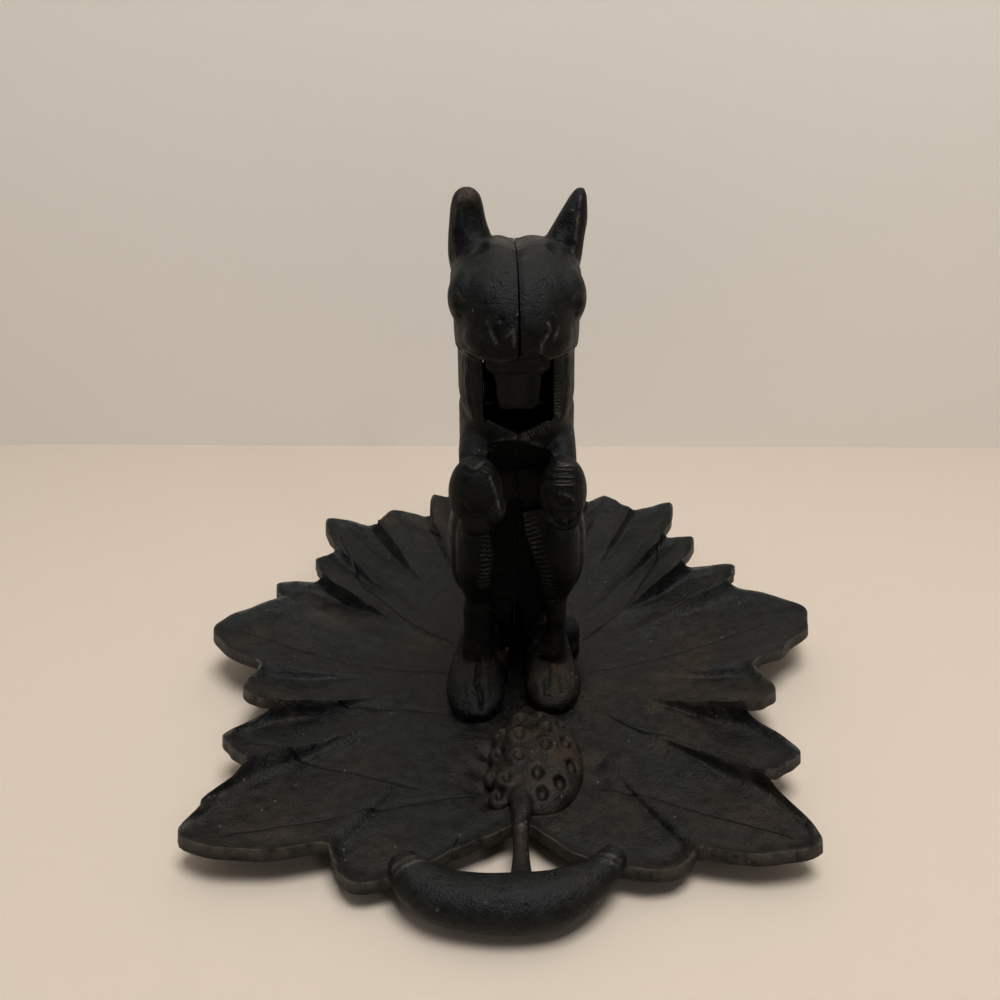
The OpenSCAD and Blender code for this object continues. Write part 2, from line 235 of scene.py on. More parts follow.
agedIron = {
    # the grey of rubbed metal is laid also as a painted highlight on the leaf's upper rims and on
    # raised ridges
    "dark": "#0c0d0d", "sheen": "#232624", "wornAndHighlight": "#6b675f", "rust": "#382b1e", "chip": "#857d70",
    # the near black of the veins is painted shade in their narrow grooves
    "veinShade": "#070707", "toneStops": (0.42, 0.62), "metal": 0.72,
    "roughness": 0.5, "smoother": 0.08, "rougher": 0.14,
    # the real size in mm of the sand grains, casting lumps, rust patches and pits
    "grainMm": 0.55, "lumpMm": 4.0, "patchMm": 38.0, "chipMm": 3.4,
    # pointiness where an edge begins to be rubbed and is rubbed through, the range of the lumps
    # that breaks up the rim's rubbing and painted highlight, and how far the hair's crests are rubbed
    "edgeStops": (0.54, 0.64), "rubAndHighlightBreak": (0.38, 0.56), "furRub": 0.5,
    # size of a pit in shares of its cell, how few pits are chipped and how bright those are
    "pitStops": (0.05, 0.17), "chipFew": 0.76, "chipShare": 0.36,
    # heights in the bump, each in shares of bumpMm
    "bump": 0.7, "bumpMm": 0.4, "lumpHeight": 2.2, "pitHeight": -0.7, "furHeight": 0.9,
    "veinHeight": -1.6, "veinStops": (0.15, 0.55),
}
tarnishedSteel = agedIron | {
    "dark": "#37352f", "sheen": "#56534c", "wornAndHighlight": "#8d877b", "rust": "#4a3524",
    "roughness": 0.42, "lumpMm": 1.6, "patchMm": 7.0, "metal": 0.85,
}
black, white = (0, 0, 0, 1), (1, 1, 1, 1)
# what veinAway reads on the middle of a vein, so that 0 is left for points off the leaf
veinMiddle = 100.0


def blackIron(name, rustShare, wearAndHighlight, v=agedIron, edgeShare=1.0):
    # sand-cast grey iron, blackened and oiled: near black with a satin sheen, grey where hands and
    # nuts have rubbed the ridges, with brown rust in the low places
    # a painted highlight lies along the leaf's upper rims and the raised ridges, in the grey of rubbed
    # metal
    material = bpy.data.materials.new(name)
    material.use_nodes = True
    tree = material.node_tree
    tree.nodes.clear()
    out = addNode(tree, "OutputMaterial")
    spot = addNode(tree, "TexCoord").outputs["Object"]
    shape = addNode(tree, "NewGeometry")
    patches, mottle, grain = [
        addNode(tree, "TexNoise", {"Scale": 1 / (v[size] * mm), "Detail": detail,
                                   "Roughness": roughness}, {"Vector": spot})
        for size, detail, roughness in (("patchMm", 6.0, 0.62), ("lumpMm", 5.0, 0.6),
                                        ("grainMm", 3.0, 0.6))]
    # values painted on the points of each piece; a piece without them reads 0
    stain, furPhase, furShare, rimWearAndHighlight, veinAway = [
        addNode(tree, "Attribute", {"attribute_name": label}).outputs["Fac"]
        for label in ("rustShare", "furPhase", "furShare", "rimWearAndHighlight", "veinAway")]
    times, timesPlus = {"operation": "MULTIPLY"}, {"operation": "MULTIPLY_ADD"}
    grainHalf = addNode(tree, "Math", times | {1: 0.5}, {0: grain})
    speckle = addNode(tree, "Math", timesPlus | {1: 0.5}, {0: mottle, 2: grainHalf})
    tone = setRamp(addNode(tree, "ValToRGB", links={"Fac": speckle}), zip(
        v["toneStops"], (linearColour(v["dark"]), linearColour(v["sheen"]))))
    rustMask = setRamp(addNode(tree, "ValToRGB", links={"Fac": patches}), [
        (0.62 - 0.2 * rustShare, black), (0.76 - 0.12 * rustShare, white)])
    rustSum = addNode(tree, "Math", {"operation": "ADD"}, {0: rustMask, 1: stain})
    rustGrain = addNode(tree, "MapRange", {"From Min": 0.38, "From Max": 0.62, "To Min": 0.15,
                                           "To Max": 0.85}, {"Value": mottle})
    rustBreak = addNode(tree, "Math", times | {"use_clamp": True}, {0: rustSum, 1: rustGrain})
    edges = setRamp(addNode(tree, "ValToRGB", links={"Fac": shape.outputs["Pointiness"]}),
                    zip(v["edgeStops"], (black, white)))
    # short combed hair marks, cast as fine ridges across each painted band
    furTurn = addNode(tree, "Math", times | {1: 2 * math.pi}, {0: furPhase})
    furWave = addNode(tree, "Math", {"operation": "SINE"}, {0: furTurn})
    furHeight = addNode(tree, "Math", times, {0: furWave, 1: furShare})
    furCrest = addNode(tree, "Math", times | {"use_clamp": True, 1: v["furRub"]},
                       {0: furHeight})
    # the leaf's upper rim line and the sharp ridges are made bright in broken lengths: partly rubbed
    # metal, partly a painted highlight
    rimBreak = addNode(tree, "MapRange", {"From Min": v["rubAndHighlightBreak"][0],
                                          "From Max": v["rubAndHighlightBreak"][1]}, {"Value": mottle})
    rimRubAndHighlight = addNode(tree, "Math", times, {0: rimWearAndHighlight, 1: rimBreak})
    edgeRub = addNode(tree, "Math", timesPlus | {1: edgeShare}, {0: edges, 2: furCrest})
    rubAndHighlight = addNode(tree, "Math", {"operation": "ADD", "use_clamp": True},
                     {0: edgeRub, 1: rimRubAndHighlight})
    wornAndHighlightMask = addNode(tree, "Math", times | {1: wearAndHighlight}, {0: rubAndHighlight})
    # scattered small pits of the sand mould, a few of them chipped bright
    cells = addNode(tree, "TexVoronoi", {"Scale": 1 / (v["chipMm"] * mm)}, {"Vector": spot})
    pit = addNode(tree, "MapRange", {"From Min": v["pitStops"][0], "From Max": v["pitStops"][1],
                                     "To Min": 1.0, "To Max": 0.0}, {"Value": cells})
    few = addNode(tree, "Math", {"operation": "GREATER_THAN", 1: v["chipFew"]},
                  {0: cells.outputs["Color"]})
    chipMask = addNode(tree, "Math", times, {0: pit, 1: few})
    chipShare = addNode(tree, "Math", times | {1: v["chipShare"]}, {0: chipMask})
    gloss = addNode(tree, "MapRange", {
        "From Min": 0.3, "From Max": 0.7, "To Min": v["roughness"] - v["smoother"],
        "To Max": v["roughness"] + v["rougher"]}, {"Value": mottle})
    # thin veins cut shallowly into the leaf, with painted shade darkening their grooves
    veinSigned = addNode(tree, "Math", {"operation": "SUBTRACT", 1: veinMiddle}, {0: veinAway})
    veinReach = addNode(tree, "Math", {"operation": "ABSOLUTE"}, {0: veinSigned})
    veinGrooveAndShade = addNode(tree, "MapRange", {
        "From Min": v["veinStops"][0], "From Max": v["veinStops"][1], "To Min": 1.0,
        "To Max": 0.0}, {"Value": veinReach})
    # the colours laid over each other: rust, rubbed ridges with the painted highlight, chips and the
    # painted shade of the veins
    colour = tone
    for upper, mask in (("rust", rustBreak), ("wornAndHighlight", wornAndHighlightMask), ("chip", chipShare),
                        ("veinShade", veinGrooveAndShade)):
        colour = addNode(tree, "Mix", {"data_type": "RGBA", 7: linearColour(v[upper])},
                         {0: mask, 6: colour}).outputs[2]
    # all heights added up: lumps and grain, then pits, hair and veins
    heights = addNode(tree, "Math", timesPlus | {1: v["lumpHeight"]}, {0: mottle, 2: grain})
    for form, height in ((pit, "pitHeight"), (furHeight, "furHeight"), (veinGrooveAndShade, "veinHeight")):
        heights = addNode(tree, "Math", timesPlus | {1: v[height]}, {0: form, 2: heights})
    bump = addNode(tree, "Bump", {"Strength": v["bump"], "Distance": v["bumpMm"] * mm},
                   {"Height": heights})
    iron = addNode(tree, "BsdfPrincipled", {"Metallic": v["metal"]}, {
        "Base Color": colour, "Roughness": gloss, "Normal": bump})
    tree.links.new(iron.outputs["BSDF"], out.inputs["Surface"])
    return material


trayIron = blackIron("blackened_cast_iron_tray", rustShare=0.34, wearAndHighlight=0.45, edgeShare=0.05)
bodyIron = blackIron("blackened_cast_iron_body", rustShare=0.2, wearAndHighlight=0.62,
                     v=agedIron | {"sheen": "#1d201e", "metal": 0.8})
leverIron = blackIron("blackened_cast_iron_lever", rustShare=0.15, wearAndHighlight=0.6)
# turned steel gone dull: lighter and smoother than the castings, with brown round the rims
pinSteel = blackIron("tarnished_steel_pins", rustShare=0.4, wearAndHighlight=0.9, v=tarnishedSteel)
print("stage: materials made")


def meshArrays(mesh):
    count = len(mesh.vertices)
    coords, normals = np.empty(count * 3), np.empty(count * 3)
    mesh.vertices.foreach_get("co", coords)
    mesh.vertex_normals.foreach_get("vector", normals)
    return coords.reshape(-1, 3) / mm, normals.reshape(-1, 3)


def keepValues(piece, label, values):
    # one number for each point of the mesh, which the materials read by its label
    layer = piece.data.attributes.new(label, "FLOAT", "POINT")
    layer.data.foreach_set("value", values)


def stainPiece(piece, stains):
    # paints how much brown rust and dirt a place holds: each stain is a centre, a reach and a share
    coords = meshArrays(piece.data)[0]
    share = np.zeros(len(coords))
    for centre, reach, strength in stains:
        away = np.linalg.norm(coords - np.array(centre), axis=1)
        share = np.maximum(share, strength * np.exp(-(away / reach) ** 2))
    keepValues(piece, "rustShare", share)


def dress(piece, material, body, slotName, *nodes, sharpAngle=50):
    piece.data.materials.clear()
    piece.data.materials.append(material)
    makeActive(piece)
    bpy.ops.object.shade_smooth_by_angle(angle=math.radians(sharpAngle))
    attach(piece, body)
    if nodes:
        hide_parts(*nodes)


leafTray = {
    "around": 672, "along": 132,
    "floor": 7.0, "thick": 3.6, "edgeRise": 1.0, "flatShare": 0.34,
    "rimShare": (0.08, 0.14), "rimOut": 1.1, "veinDepth": 0.3, "veinHalf": 1.2,
    # the raised lip along the edge and the shallow groove inside it, in mm
    "lip": 1.0, "lipReach": 2.6, "grooveShare": 0.5, "grooveIn": 6, "grooveReach": 3.2,
    # uneven swells of the casting: size and height in mm
    "longSwell": (26, 0.6), "shortSwell": (7, 0.32),
    # how far a roll and a hollow reach from their notch, and the width of the step between them,
    # in shares of the way to the next tip
    "rollReach": 0.1, "dipReach": 0.4, "stepReach": 0.085,
    # height in mm of the small teeth of the edge, and of those on single sides of lobes
    "ragged": 0.2, "raggedSides": {38: 1.5, 10: 1.2, 12: 0.7, 26: 0.5, 16: 0.5, 32: 0.5},
    # hollows beside the seed cluster: place, reach and depth
    "dents": [(-10.6, -44, 2.8, 2.2), (-11.6, -52, 3.4, 2.8), (-12, -60, 3.4, 2.8),
              (-9.5, -66.5, 2.6, 1.8), (21, -60, 3, 1.2), (22, -50, 3, 1.0)],
    # for each notch round the edge: how high the lobe behind it rolls up and how deep the lobe in
    # front of it dips, in mm; less than zero where the front lobe lies on top
    "rolls": [
        (0, 0), (0, 0), (1.0, 1.4), (1.2, 2.6), (1.9, 4.0), (1.4, 2.6), (1.4, 2.8), (1.7, 4.0),
        (1.2, 2.4), (1.0, 2.0), (0.8, 1.6), (0.8, 1.6), (1.0, 2.0), (1.4, 3.2), (1.4, 2.6),
        (1.8, 4.2), (-1.5, -3.4), (1.4, 2.4), (1.8, 3.8), (1.4, 2.4), (1.0, 1.2)],
    "edge": [
        (-20.5, -87, 9), (-1, -79, 9), (11.5, -90, 9), (38, -95, 9), (44, -90, 10), (77, -90, 11),
        (68, -67, 14), (81, -58, 14), (69, -37, 15), (82, -29, 15), (79, -14, 15), (106, 18, 17),
        (82, 38, 17), (87, 50, 18), (67, 51, 18), (75, 72, 20), (64, 75, 19), (71, 101, 22),
        (53, 98, 20), (43, 108, 22), (34, 104, 21), (2, 130, 24), (-26, 113, 22), (-33, 112, 23),
        (-34, 95, 20), (-50, 97, 22), (-56, 88, 20), (-77, 91, 22), (-71, 69, 19), (-77, 59, 20),
        (-73, 47, 18), (-90, 44, 18), (-85, 33, 17), (-106, 14, 17), (-86, -8, 15), (-89, -20, 15),
        (-77, -29, 15), (-90, -43, 14), (-80, -55, 14), (-92.6, -80, 11), (-53, -84, 10),
        (-46, -95.4, 8.6)],
    "veins": [
        [(-10, -62), (-34, -66), (-60, -74), (-82, -79)],
        [(-30, -60), (-52, -52), (-70, -46), (-83, -43)],
        [(-16, -26), (-36, -22), (-58, -22)],
        [(-22, -2), (-40, 0), (-62, 4), (-94, 13)],
        [(-22, 16), (-40, 30), (-58, 50), (-70, 80)],
        [(-8, 34), (-14, 60), (-34, 88)],
        [(2, 38), (2, 70), (2, 118)],
        [(10, 34), (18, 62), (36, 92)],
        [(22, 14), (42, 34), (58, 62), (66, 90)],
        [(24, -4), (46, 2), (70, 8), (96, 17)],
        [(28, -28), (38, -38), (46, -42)],
        [(20, -60), (34, -66), (52, -76), (70, -86)]],
}


def roundTip(w, soft=0.1):
    full = math.hypot(1, soft) - soft
    return 1 - (np.hypot(1 - w, soft) - soft) / full


def leafRim(u):
    # edge of the leaf at a share u of the way round, as angle, radius and height
    edge = np.array(leafTray["edge"], float)
    angle = np.arctan2(edge[:, 1], edge[:, 0])
    turn = np.unwrap(np.append(angle, angle[0]))
    count = len(edge)
    place = np.clip(u, 0, 1 - 1e-9) * count
    i = place.astype(int)
    t = place - i
    j = (i + 1) % count
    radius = np.hypot(edge[:, 0], edge[:, 1])
    toTip = i % 2 == 0
    s = np.where(toTip, np.sin(t * math.pi / 2), 1 - np.sin((1 - t) * math.pi / 2))
    w = 0.62 * t + 0.38 * s
    w = np.where(toTip, roundTip(w), 1 - roundTip(1 - w))
    ragged = np.full(count, leafTray["ragged"])
    for side, height in leafTray["raggedSides"].items():
        ragged[side] = height
    wobble = ragged[i] * np.sin(t * math.pi) * np.sin(t * 15 + i * 1.7)
    r = radius[i] + (radius[j] - radius[i]) * w + wobble
    a = turn[i] + (turn[i + 1] - turn[i]) * t
    z = edge[i, 2] + (edge[j, 2] - edge[i, 2]) * t
    return a, r, z


def softStep(t):
    t = np.clip(t, 0, 1)
    return t * t * (3 - 2 * t)


def segmentNearness(x, y, line):
    # distance from points to a line of points, and how far along it they lie
    best = np.full(len(x), 1e9)
    along = np.zeros(len(x))
    for k in range(len(line) - 1):
        (ax, ay), (bx, by) = line[k], line[k + 1]
        dx, dy = bx - ax, by - ay
        t = np.clip(((x - ax) * dx + (y - ay) * dy) / (dx * dx + dy * dy), 0, 1)
        d = np.hypot(x - ax - t * dx, y - ay - t * dy)
        near = d < best
        best = np.where(near, d, best)
        along = np.where(near, (k + t) / (len(line) - 1), along)
    return best, along


def markVeins(piece, lines, none=50.0, past=0.3):
    # keeps, for the material, the signed distance in mm from the nearest vein, plus veinMiddle; a
    # point past either end of a stretch of vein isn't beside it
    coords = meshArrays(piece.data)[0]
    x, y = coords[:, 0], coords[:, 1]
    best = np.full(len(x), none)
    for line in lines:
        for k in range(len(line) - 1):
            (ax, ay), (bx, by) = line[k], line[k + 1]
            dx, dy = bx - ax, by - ay
            length = math.hypot(dx, dy)
            along = ((x - ax) * dx + (y - ay) * dy) / length
            across = ((y - ay) * dx - (x - ax) * dy) / length
            signed = np.where(np.maximum(-along, along - length) > past, none, across)
            best = np.where(np.abs(signed) < np.abs(best), signed, best)
    keepValues(piece, "veinAway", best + veinMiddle)


def markRim(piece, line, level=6, upright=0.55, away=1.1, reach=0.5):
    # keeps, for the material, where the upper edge of the leaf is made bright: partly rubbed metal,
    # partly a painted highlight on the faces turned up to the light
    coords, normals = meshArrays(piece.data)
    tree = KDTree(len(line))
    for k, (x, y) in enumerate(line):
        tree.insert((x, y, 0), k)
    tree.balance()
    wearAndHighlight = np.zeros(len(coords))
    for k in np.nonzero((normals[:, 2] > upright) & (coords[:, 2] > level))[0]:
        gap = tree.find((coords[k, 0], coords[k, 1], 0))[2]
        wearAndHighlight[k] = math.exp(-((gap - away) / reach) ** 2)
    keepValues(piece, "rimWearAndHighlight", wearAndHighlight)


def waves(x, y, size, seed):
    # smooth uneven swells of about one unit, with no random draw
    out = np.zeros(len(x))
    for k, (fx, fy) in enumerate(((1.0, 0.3), (-0.4, 1.1), (0.8, -0.9), (1.7, 0.6), (-1.3, 1.5))):
        out += np.sin((x * fx + y * fy) / size * 2.1 + seed * (k + 1.7)) / (1 + 0.5 * k)
    return out / 2.2


def leafPlace(u, v):
    # v runs from the middle of the lower face out to the rim, round it and back over the upper face
    g = leafTray
    a, r, rimZ = leafRim(u)
    low, high = g["rimShare"]
    under = v < low
    onRim = (v >= low) & (v < high)
    s = np.where(under, v / low, np.where(onRim, 1.0, 1 - (v - high) / (1 - high)))
    s = np.where(under | onRim, s, 1 - (1 - s) ** 1.15)
    s = np.maximum(s, 0.004)
    x, y = r * s * np.cos(a), r * s * np.sin(a)
    grow = np.clip((s - g["flatShare"]) / (1 - g["flatShare"]), 0, 1)
    z = g["floor"] + g["edgeRise"] * (rimZ - g["floor"]) * grow ** 2 * (2 - grow)
    # lobes lie over each other like shingles: a rolled rim behind each notch, a hollow before it
    rolls = np.array(g["rolls"], float)
    count = len(rolls)
    place = np.clip(u, 0, 1 - 1e-9) * count
    i = place.astype(int)
    t = place - i
    right = np.cos(a) > 0
    fadeRoll = softStep((s - 0.68) / 0.28)
    fadeDip = softStep((s - 0.56) / 0.28) * (1 - 0.45 * softStep((s - 0.86) / 0.14))
    for notch, run in ((i, t), ((i + 1) % count, 1 - t)):
        after = run is t
        high, deep = rolls[notch, 0], rolls[notch, 1]
        behind = (right == after) == (high >= 0)
        high, deep = np.abs(high), np.abs(deep)
        z = z + np.where(behind, high * fadeRoll * np.exp(-(run / g["rollReach"]) ** 2),
                         -deep * fadeDip * np.exp(-(run / g["dipReach"]) ** 2)
                         * softStep(run / g["stepReach"]))
    size, tall = g["longSwell"]
    z = z + tall * waves(x, y, size, 2.0) * grow
    size, tall = g["shortSwell"]
    z = z + tall * waves(x, y, size, 5.0) * np.minimum(1, 3 * grow)
    fromEdge = (1 - s) * r
    z = (z + g["lip"] * np.exp(-(fromEdge / g["lipReach"]) ** 2)
         - g["grooveShare"] * g["lip"] * np.exp(-((fromEdge - g["grooveIn"]) / g["grooveReach"]) ** 2))
    top = z.copy()
    for px, py, reach, deep in g["dents"]:
        top = top - deep * np.exp(-((x - px) ** 2 + (y - py) ** 2) / reach ** 2)
    for line in g["veins"]:
        away, along = segmentNearness(x, y, line)
        depth = np.clip(along / 0.12, 0, 1) * np.clip((1 - along) / 0.25, 0, 1)
        top = top - depth * g["veinDepth"] * np.exp(-(away / g["veinHalf"]) ** 2)
    # blunt outer edge between the upper and the lower face
    turn = np.clip((v - low) / (high - low), 0, 1) * math.pi
    out = g["rimOut"] * (bow(np.sin(turn), 0.6) * onRim - np.where(
        onRim, 1, np.clip((s - 0.5) / 0.5, 0, 1)))
    x, y = x + out * np.cos(a), y + out * np.sin(a)
    rimHeight = z - g["thick"] / 2 - g["thick"] / 2 * bow(np.cos(turn), 0.6)
    height = np.where(under, z - g["thick"], np.where(onRim, rimHeight, top))
    height = np.maximum(height, 0.3)
    return np.stack([x, y, height], axis=1)


leaf = wrapGrid("leafPlate", leafTray["around"], leafTray["along"], leafPlace)
print("stage: leaf made", len(leaf.data.polygons))

loopHandle = {
    "bar": [
        (-32.4, -88, 9.6, 3.2, 3.8), (-31.2, -91.6, 9.4, 4.6, 5.0), (-28.2, -95.4, 9.0, 5.2, 6.2),
        (-22, -99.2, 8.4, 5.8, 7.0), (-13, -101.4, 8.1, 6.4, 7.4), (-4, -102, 8, 6.7, 7.7),
        (4.5, -101.4, 8.1, 6.5, 7.4), (11, -99, 8.6, 5.8, 6.4), (16.6, -95.4, 9.2, 4.6, 5.0),
        (20.4, -91.6, 9.8, 3.7, 4.2), (22.6, -88.6, 9.9, 2.8, 3.2)],
    "stem": [
        (-1.0, -62, 9.5, 4.4, 2.8), (-1.2, -70, 10.2, 3.2, 3.2), (-1.8, -78, 9.8, 2.4, 3.0),
        (-2.1, -87, 9.0, 2.2, 2.8), (-2.4, -97, 8.4, 3.2, 3.4)],
}
bar = spineForm("gripBar", loopHandle["bar"], 36, 90, side=(0, 0, 1))
stem = spineForm("gripStem", loopHandle["stem"], 28, 40)

seedCluster = {
    "mound": ((4.2, -50.5, 7.6), (13.6, 23, 8.0)),
    "seeds": [
        (0, -37, 14.5, 4.8), (-1, -45.7, 15.6, 5.0), (6.6, -51, 15.8, 5.2),
        (-1.5, -54.6, 15.2, 5.0), (-5.2, -61.5, 13, 4.6), (-7.4, -66, 10.6, 4.0),
        (3.6, -61.5, 14, 4.8), (4.6, -68, 12, 4.4), (9.8, -64, 11.6, 4.4), (7.4, -42, 14.8, 4.8),
        (12.8, -47.5, 12.6, 4.6), (13.6, -57, 11.2, 4.4), (-7, -50, 12, 4.4),
        (-5.6, -41, 12.2, 4.4), (6, -33.5, 12.4, 4.2), (-8.6, -57.4, 10.4, 4.0),
        (12, -37.5, 11.4, 4.2)],
    # half sizes of a seed and of its dimple in shares of the seed's radius, the rest in mm
    "seedShape": (0.84, 0.98, 0.68), "sink": 2.6, "dimpleShape": (0.4, 0.58), "dimpleHalf": 2.3,
}
seeds = [eggForm("mound", *seedCluster["mound"])]
dimples = []
for x, y, z, r in seedCluster["seeds"]:
    halves = [r * share for share in seedCluster["seedShape"]]
    seeds.append(eggForm("seed", (x, y, z - seedCluster["sink"]), halves, segments=20))
    halves = [r * share for share in seedCluster["dimpleShape"]] + [seedCluster["dimpleHalf"]]
    dimples.append(eggForm("dimple", (x, y - 0.4, z + 0.9), halves, segments=16))
cluster = carve(melt("cluster", seeds, voxel=0.6, rounds=2), dimples)
grip = melt("gripAndStem", [bar, stem, cluster], voxel=0.6, rounds=4)
pad = spineForm("footPad", [(0, 0, 0, 40, 40), (0, 0, 5, 40, 40)], 96, 2, level=True)
tray = joinPieces("leafTray", [leaf, grip, pad])
markVeins(tray, leafTray["veins"])
rimTurn, rimReach = leafRim(np.linspace(0, 1, 4 * leafTray["around"], endpoint=False))[:2]
markRim(tray, list(zip(rimReach * np.cos(rimTurn), rimReach * np.sin(rimTurn))))
stainPiece(tray, [
    ((4, -50, 12), 19, 0.9), ((-3.5, -84, 9), 7, 1.0), ((-72, -76, 10), 20, 0.55),
    ((-38, -84, 10), 9, 0.5), ((60, -78, 10), 16, 0.6), ((74, -28, 14), 10, 0.7),
    ((-80, -22, 14), 9, 0.35), ((66, 20, 14), 16, 0.3), ((-50, -50, 9), 12, 0.3),
    ((24, -70, 8), 14, 0.45), ((0, 0, 7), 34, 0.25)])
dress(tray, trayIron, "stand", "tray_iron", "leaf_tray")
print("stage: tray made", len(tray.data.polygons))

squirrelBody = {
    "pivot": (8.0, 110.0), "slotHalf": 9.8, "throatRadius": 29.2, "hubRoom": 10.2, "seam": 0.16,
    "jawZ": 122.3, "coarse": 0.75, "fine": 0.54,
    "trunk": [
        (0, 16, 6.6, 11, 14), (0, 16.2, 18, 11.5, 16.2), (0, 15.2, 28, 12, 19.2),
        (0, 11.5, 37, 14.5, 24), (0, 9.6, 46, 17.4, 25.6), (0, 8.6, 55, 18.2, 24.6),
        (0, 7.2, 64, 18.0, 22.6), (0, 5.2, 73, 18.0, 20.8), (0, 2.4, 82, 17.6, 20),
        (0, -1.2, 92, 17.3, 20.2), (0, -3, 103, 17.1, 20), (0, -2.2, 113, 17.1, 18.8),
        (0, -1.4, 125.3, 17.0, 18.4)],
    "skull": [
        (0, -4.3, 122.3, 17.5, 22.8), (0, -4.8, 126.3, 17.8, 24.6), (0, -4.8, 132.8, 18.0, 24.9),
        (0, -3.6, 138.6, 18.6, 23.8), (0, -1.8, 144.2, 18.0, 21.0), (0, -0.8, 148.2, 15.0, 15.6),
        (0, 0.4, 151.0, 9.4, 9.0)],
    "gape": [(-0.18, 150), (0.18, 150), (0.3, 138), (0.62, 120), (-0.5, 120), (-0.24, 138)],
    "mouthRim": [
        (-20, 125.7), (-15.7, 124.9), (-9.7, 123.2), (-4.9, 122.9), (-0.3, 123.8), (4.4, 124.6),
        (6, 125.6), (8.7, 123.2), (14.9, 124.5), (20, 125.4), (20, 120), (-20, 120)],
}


def pivotArc(radius, start, end, count):
    y, z = squirrelBody["pivot"]
    angles = [math.radians(start + (end - start) * i / count) for i in range(count + 1)]
    return [(y + radius * math.cos(a), z + radius * math.sin(a)) for a in angles]


def landing(piece, face, a, b):
    # the first point of the piece that is met from one side; foot looks down from under the belly
    start, way = {
        "front": ((a, -200, b), (0, 1, 0)), "back": ((a, 200, b), (0, -1, 0)),
        "top": ((a, b, 300), (0, 0, -1)), "foot": ((a, b, 24), (0, 0, -1)),
        "right": ((80, a, b), (-1, 0, 0)), "left": ((-80, a, b), (1, 0, 0))}[face]
    hit, place, normal, index = piece.ray_cast(Vector(start) * mm, Vector(way))
    return np.array(place) / mm if hit else None


def strokePath(piece, face, points, step=0.5):
    # the points of a line drawn on the surface
    path = []
    for (a0, b0), (a1, b1) in zip(points, points[1:]):
        count = max(1, int(math.hypot(a1 - a0, b1 - b0) / step))
        for i in range(count + 1):
            t = i / count
            spot = landing(piece, face, a0 + (a1 - a0) * t, b0 + (b1 - b0) * t)
            if spot is not None:
                path.append(spot)
    return np.array(path)


def nearStroke(piece, coords, face, points, reach):
    # points of the mesh within reach of a drawn line, their distance and place along it in mm
    path = strokePath(piece, face, points)
    near = np.zeros(0, int)
    if len(path):
        low, high = path.min(0) - reach, path.max(0) + reach
        near = np.nonzero(np.all((coords > low) & (coords < high), axis=1))[0]
    if len(near) == 0:
        return near, np.zeros(0), np.zeros(0)
    gaps = np.linalg.norm(coords[near][:, None, :] - path[None], axis=2)
    nearest = gaps.argmin(1)
    run = np.concatenate([[0], np.cumsum(np.linalg.norm(np.diff(path, axis=0), axis=1))])
    away = gaps.min(1)
    close = away < reach
    return near[close], away[close], run[nearest[close]]


def engrave(piece, strokes):
    # raises (+) or cuts (-) a soft line of a given depth and half width along each stroke
    coords, normals = meshArrays(piece.data)
    moved = coords.copy()
    for face, depth, width, points in strokes:
        near, away, along = nearStroke(piece, coords, face, points, width * 2.6)
        length = along.max() if len(along) else 0
        taper = np.ones(len(near))
        if length > 3 * width:
            taper = np.clip(np.minimum(along, length - along) / (1.6 * width) + 0.25, 0, 1)
        moved[near] += normals[near] * (depth * taper * np.exp(-(away / width) ** 2))[:, None]
    piece.data.vertices.foreach_set("co", (moved * mm).ravel())
    piece.data.update()


def markFur(piece, bands):
    # keeps, for the material, where short combed strokes lie and how they run
    coords = meshArrays(piece.data)[0]
    share, phase = np.zeros(len(coords)), np.zeros(len(coords))
    for face, width, spacing, points in bands:
        near, away, along = nearStroke(piece, coords, face, points, width)
        share[near] = np.maximum(share[near], np.clip(2.2 * (1 - away / width), 0, 1))
        phase[near] = along / spacing
    keepValues(piece, "furShare", share)
    keepValues(piece, "furPhase", phase)


def markRidges(piece, strokes, width=0.3):
    # keeps, for the material, the raised strokes made bright: partly rubbed by hands, partly a painted
    # highlight
    coords = meshArrays(piece.data)[0]
    wearAndHighlight = np.zeros(len(coords))
    for face, height, reach, points in strokes:
        if height > 0:
            near, away, along = nearStroke(piece, coords, face, points, 2 * width)
            wearAndHighlight[near] = np.maximum(wearAndHighlight[near], np.exp(-(away / width) ** 2))
    keepValues(piece, "rimWearAndHighlight", wearAndHighlight)


paws = {
    "rightArm": [(10.6, 3, 103, 4.8, 6), (11.8, -5, 99.5, 4.8, 6.4), (12.2, -14, 96, 4.6, 6),
                 (12.3, -20.5, 93, 4.4, 5.2), (12.3, -23.5, 90.5, 4.2, 4.6)],
    "leftArm": [(-10.6, 3, 103, 4.8, 6), (-11.8, -5, 99.5, 4.8, 6.4), (-12.3, -14, 96.5, 4.7, 6),
                (-12.4, -20.5, 93.5, 4.8, 5.4), (-12.3, -23.5, 91, 4.6, 4.8)],
    "eggs": [
        ((12.5, -27.2, 85.2), (6.7, 6.6, 11.0), (6, 0, 0)),
        ((12.5, -29.0, 78.6), (5.4, 4.6, 4.4), (14, 0, 0)),
        ((-12.4, -27.4, 85.4), (7.8, 7.0, 11.4), (6, 0, 0)),
        ((-7.8, -29.4, 80.4), (3.6, 4.2, 5.6), (14, 25, 0)),
        ((-12.4, -29.4, 77.6), (5.2, 4.4, 4.8), (14, 0, 0))],
}
